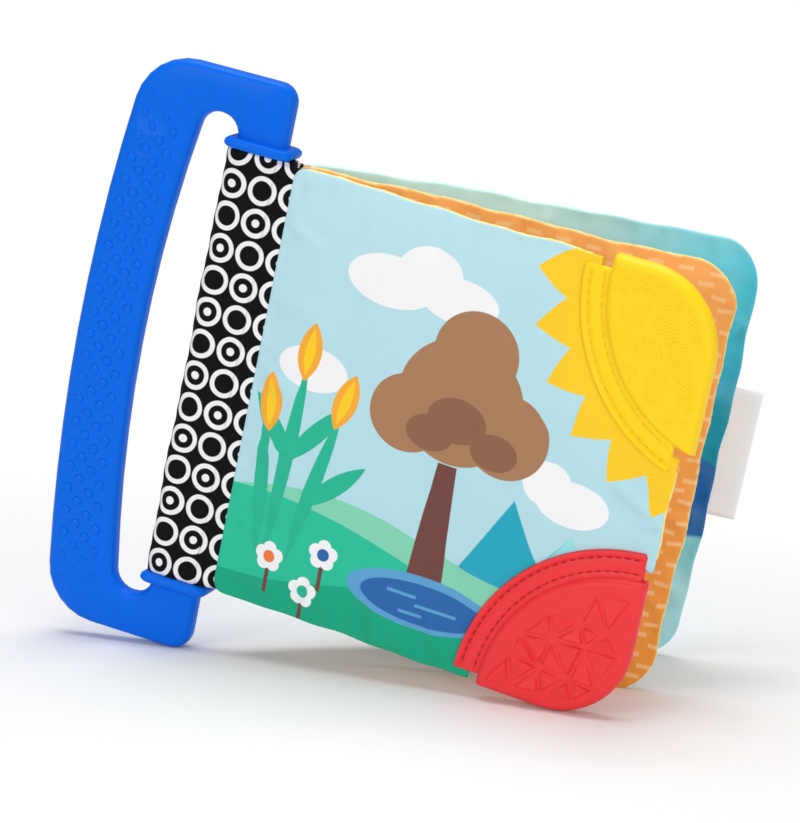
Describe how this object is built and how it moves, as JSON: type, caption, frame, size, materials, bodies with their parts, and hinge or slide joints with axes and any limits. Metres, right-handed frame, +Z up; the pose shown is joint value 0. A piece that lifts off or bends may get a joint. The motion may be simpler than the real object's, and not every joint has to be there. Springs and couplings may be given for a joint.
{
  "type": "soft baby book",
  "caption": "Soft cloth book with padded covers that swing open, a bowed teether handle through the spine and teether corners on the front cover.",
  "frame": {"origin": "middle of the book's box, on the surface it stands on", "axes": "+X from the handle towards the leaves' free edges, +Y from the front cover towards the back cover, +Z up; the spine leans 9.9 degrees from +Z towards +X as the book stands"},
  "size_m": [0.2189, 0.0877, 0.1882],
  "materials": {
    "blue_moulded": "satin moulded",
    "black_cloth": "printed woven polyester",
    "orange_cloth": "printed woven polyester",
    "cover_cloth": "printed woven polyester",
    "cream_cloth": "woven polyester",
    "wadding": "polyester wadding",
    "red_moulded": "satin moulded",
    "yellow_moulded": "satin moulded",
    "teal_cloth": "printed woven polyester",
    "teal_lining": "printed woven polyester",
    "white_tape": "satin ribbon"
  },
  "bodies": {
    "spine": {"teether_handle": "blue_moulded", "spine_sleeve": "black_cloth", "page": "orange_cloth"},
    "front_cover": {"front_cover_face": "cover_cloth", "front_cover_lining": "cream_cloth", "front_cover_padding": "wadding", "red_corner_teether": "red_moulded", "yellow_corner_teether": "yellow_moulded"},
    "back_cover": {"back_cover_face": "teal_cloth", "back_cover_lining": "teal_lining", "back_cover_padding": "wadding", "sewn_label": "white_tape"}
  },
  "joints": [
    {"name": "front_cover_hinge", "type": "hinge", "parent": "spine", "child": "front_cover", "pos_m": [-0.03998, -0.02782, 0.08957], "axis": [0.1713, 0, 0.9852], "range_deg": [-150, 11]},
    {"name": "back_cover_hinge", "type": "hinge", "parent": "spine", "child": "back_cover", "pos_m": [-0.03998, -0.01982, 0.08957], "axis": [0.1713, 0, 0.9852], "range_deg": [-15, 118]}
  ]
}
